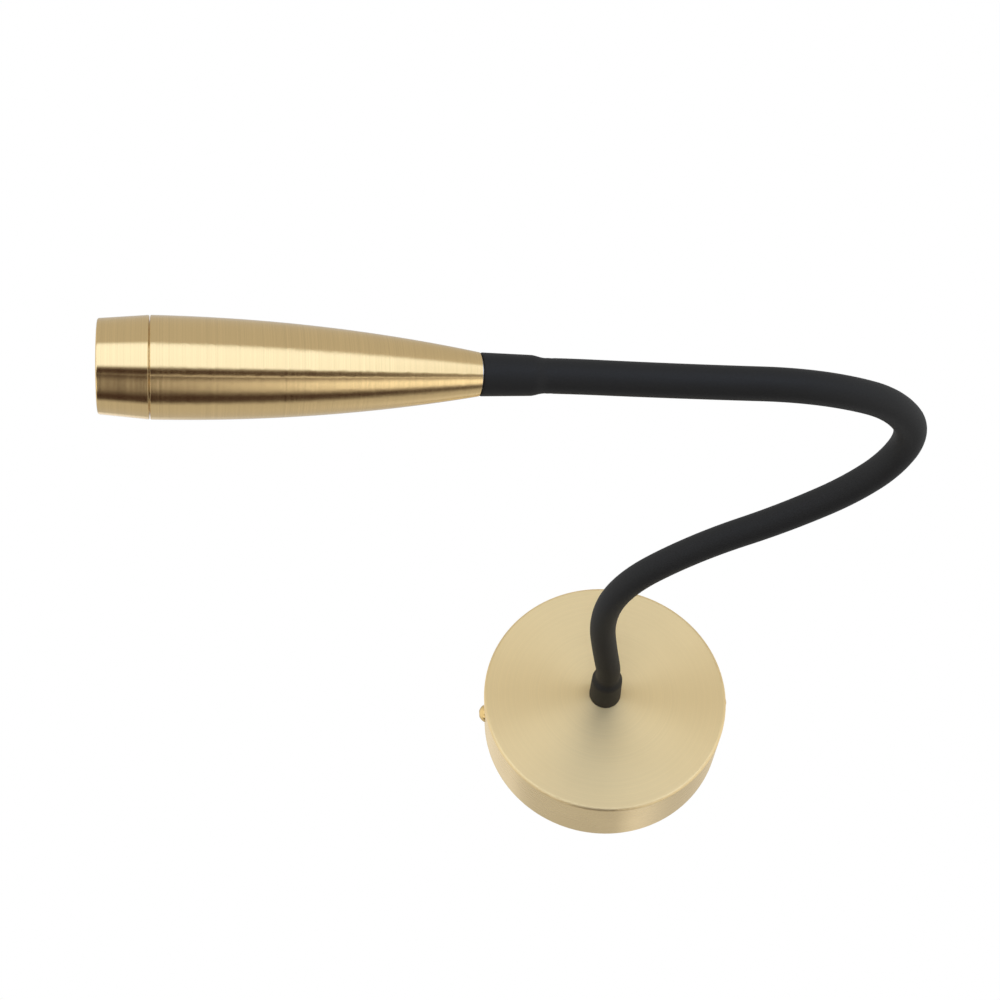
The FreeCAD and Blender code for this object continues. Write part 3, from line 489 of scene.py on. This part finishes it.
# Where the pivots lie along the arm, and how far a bend reaches to each side of its pivot.
FIRST_PIVOT = 34.0 * MM
LAST_PIVOT_TO_HEAD = 33.0 * MM
BEND_REACH = 13.0 * MM


def eased(share):
    """A share from 0 to 1 that starts and ends slowly."""
    return share * share * (3 - 2 * share)


def collar_radius(distance, mouth, neck):
    """The sleeve's radius that far from its mouth, where it is stretched over a ferrule."""
    if distance < COLLAR_ROUND:
        inset = COLLAR_ROUND - distance
        return mouth - COLLAR_ROUND + math.sqrt(max(COLLAR_ROUND ** 2 - inset ** 2, 0.0))
    if distance < FERRULE_LENGTH:
        return mouth + (neck - mouth) * distance / FERRULE_LENGTH
    if distance < FERRULE_LENGTH + SHOULDER_LENGTH:
        return neck + (HOSE_RADIUS - neck) * eased((distance - FERRULE_LENGTH) / SHOULDER_LENGTH)
    wrinkle = (distance - FERRULE_LENGTH - SHOULDER_LENGTH) / WRINKLE_PITCH
    if wrinkle < WRINKLES:
        fade = 1 - wrinkle / WRINKLES
        return HOSE_RADIUS - WRINKLE_DEPTH * fade * (0.5 - 0.5 * math.cos(2 * math.pi * wrinkle))
    return HOSE_RADIUS


def sleeve_radius(distance):
    """The sleeve's radius, that far along the centreline."""
    if distance < ARM_LENGTH / 2:
        return collar_radius(distance, *BASE_COLLAR)
    return collar_radius(SLEEVE_END - distance, *HEAD_COLLAR)


def stations(first, last):
    """Places along a length of sleeve: evenly spaced, and closer together in the rounded mouths."""
    count = max(2, round((last - first) / RING_STEP))
    places = [first + (last - first) * i / count for i in range(count + 1)]
    from_mouth = [COLLAR_ROUND * share for share in MOUTH_STEPS]
    extra = from_mouth + [SLEEVE_END - distance for distance in from_mouth]
    return sorted(set(places + [place for place in extra if first < place < last]))


def sleeve_length(name, first, last, open_start, open_end):
    """One length of the sleeve, with a wall's thickness turned in at an end that can be seen."""
    mesh = bmesh.new()
    rings = [(distance, sleeve_radius(distance)) for distance in stations(first, last)]
    if open_start:
        rings.insert(0, (rings[0][0], rings[0][1] - SLEEVE_WALL))
    if open_end:
        rings.append((rings[-1][0], rings[-1][1] - SLEEVE_WALL))
    loops = []
    for distance, radius in rings:
        place, ahead = arm_at(distance)
        side = UP.cross(ahead).normalized()
        top = ahead.cross(side)
        loop = []
        for i in range(SLEEVE_SIDES):
            turn = 2 * math.pi * i / SLEEVE_SIDES
            outward = side * math.cos(turn) + top * math.sin(turn)
            loop.append(mesh.verts.new(place + outward * radius))
        loops.append(loop)
    for low, high in zip(loops, loops[1:]):
        for i in range(SLEEVE_SIDES):
            after = (i + 1) % SLEEVE_SIDES
            face = mesh.faces.new((low[i], low[after], high[after], high[i]))
            face.smooth = True
    data = bpy.data.meshes.new(name)
    mesh.to_mesh(data)
    mesh.free()
    data.materials.append(silicone)
    piece = bpy.data.objects.new(name, data)
    bpy.context.scene.collection.objects.link(piece)
    return piece


def sleeve():
    """The whole sleeve: each length runs from the middle of one link to the middle of the next,
    across the pivot between them."""
    bends = [joint for joint in frame["joints"] if joint["name"].startswith("bend_")]
    span = ARM_LENGTH - FIRST_PIVOT - LAST_PIVOT_TO_HEAD
    pivots = [FIRST_PIVOT + span * i / (len(bends) - 1) for i in range(len(bends))]
    middles = [(low + high) / 2 for low, high in zip(pivots, pivots[1:])]
    ends = [0.0] + middles + [SLEEVE_END]
    for i, (joint, pivot) in enumerate(zip(bends, pivots)):
        is_last = i == len(bends) - 1
        piece = sleeve_length("sleeve_%02d" % (i + 1), ends[i], ends[i + 1], i == 0, is_last)
        start = arm_at(pivot - BEND_REACH)[0]
        end = arm_at(pivot + BEND_REACH)[0]
        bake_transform(piece)
        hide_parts("hose_sleeve_%02d" % i)
        if is_last:
            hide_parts("hose_sleeve_%02d" % (i + 1))


sleeve()

# ---------------------------------------------------------------- floor, light

FLOOR_DROP = 0.75
FLOOR_SIDE = 12.0
FLOOR_SHADES = (0.80, 0.84)
FLOOR_CLOUDS = 3.0


def make_floor():
    """A plain pale floor far below the lamp, which the metal doesn't mirror."""
    mesh = bpy.data.meshes.new("floor")
    half = FLOOR_SIDE / 2
    corners = [(x * half, y * half, -FLOOR_DROP) for x, y in ((-1, -1), (1, -1), (1, 1), (-1, 1))]
    mesh.from_pydata(corners, [], [(0, 1, 2, 3)])
    floor = bpy.data.objects.new("floor", mesh)
    bpy.context.scene.collection.objects.link(floor)
    material, made, shader = surface("floor_paint", Roughness=0.8)
    cloud = made.noise(made.place(), FLOOR_CLOUDS, 3.0, 0.5)
    made.put(made.mix(cloud, *map(grey, FLOOR_SHADES)), shader.inputs["Base Color"])
    mesh.materials.append(material)
    floor.visible_glossy = False


make_floor()

# The studio that the metal mirrors.  Angles go round the X axis, in degrees: 0 is into the room, 90
# straight up, -90 straight down and 180 into the wall.  Across is the direction's own X.
ROOM_LEVEL = 0.60

# A bright window in front, and the dark part of the room below it.
WINDOW_ANGLES = (-37, 17)
WINDOW_EDGE = 3
WINDOW_COLOUR = (1.36, 1.55, 1.95)
SKIRT_ANGLES = (-123, -39)
SKIRT_EDGE = 5
SKIRT_COLOUR = (0.06, 0.035, 0.03)

# Light panels in the dark part: angles, edge, where they start and are full across, and level.
PANELS = [
    ((-99, -66), 8, (0.13, 0.62), 1.9),
    ((-99, -66), 8, (-0.22, -0.5), 1.5),
    ((-57.5, -54.5), 1.5, (0.1, 0.3), 1.3),
]

# Strips on the wall's side, one above and one below: angles, where they lie across, and how much
# lighter than the room they are.
STRIPS = [
    ((150, 200), (-0.42, -0.25), 0.52),
    ((-200, -150), (0.17, 0.34), 0.34),
]
STRIP_EDGE = 12
STRIP_SOFT = 0.05

# The room's two sides: where they start and are full across, and their level.
SIDE_ACROSS = (0.6, 0.9)
SIDE_LEVEL = 0.95

# The even light on everything that is not a mirror.
DIFFUSE_LEVEL = 0.9


def mirrored_room(made):
    """The colour of the studio in each direction."""
    direction = made.add("ShaderNodeTexCoord").outputs["Generated"]
    parts = made.add("ShaderNodeSeparateXYZ", Vector=direction)
    across = parts.outputs["X"]
    toward = made.math("MULTIPLY", parts.outputs["Y"], -1.0)
    angle = made.math("DEGREES", made.math("ARCTAN2", parts.outputs["Z"], toward))

    level = made.mix(made.between(angle, *SKIRT_ANGLES, SKIRT_EDGE), grey(ROOM_LEVEL), SKIRT_COLOUR)
    for angles, edge, reach, panel_level in PANELS:
        panel = made.math("MULTIPLY", made.between(angle, *angles, edge),
                          made.map(across, *reach, 0.0, 1.0))
        level = made.mix(panel, level, grey(panel_level))
    level = made.mix(made.between(angle, *WINDOW_ANGLES, WINDOW_EDGE), level, WINDOW_COLOUR)
    for angles, reach, gain in STRIPS:
        strip = made.math("MULTIPLY", made.between(angle, *angles, STRIP_EDGE),
                          made.between(across, *reach, STRIP_SOFT))
        level = made.mix(strip, level, grey(ROOM_LEVEL + gain))
    aside = made.map(made.math("ABSOLUTE", across), *SIDE_ACROSS, 0.0, 1.0)
    return made.mix(aside, level, grey(SIDE_LEVEL))


def make_world():
    """White to the camera and through the lens, the studio in what metal mirrors, and one even
    light on everything else."""
    world = bpy.data.worlds.new("studio")
    bpy.context.scene.world = world
    made = Nodes(world)

    def shader_mix(factor, first, second):
        return made.fill("ShaderNodeMixShader", (factor, first, second)).outputs[0]

    def background(colour, strength):
        return made.add("ShaderNodeBackground", Color=colour, Strength=strength).outputs[0]

    ray = made.add("ShaderNodeLightPath").outputs
    seen = made.math("MAXIMUM", ray["Is Camera Ray"], ray["Is Transmission Ray"])
    lighting = shader_mix(ray["Is Glossy Ray"], background(grey(1.0), DIFFUSE_LEVEL),
                          background(mirrored_room(made), 1.0))
    shader = shader_mix(seen, lighting, background(grey(1.0), 1.0))
    made.add("ShaderNodeOutputWorld", Surface=shader)


make_world()

view_settings = bpy.context.scene.view_settings
view_settings.view_transform = "Standard"
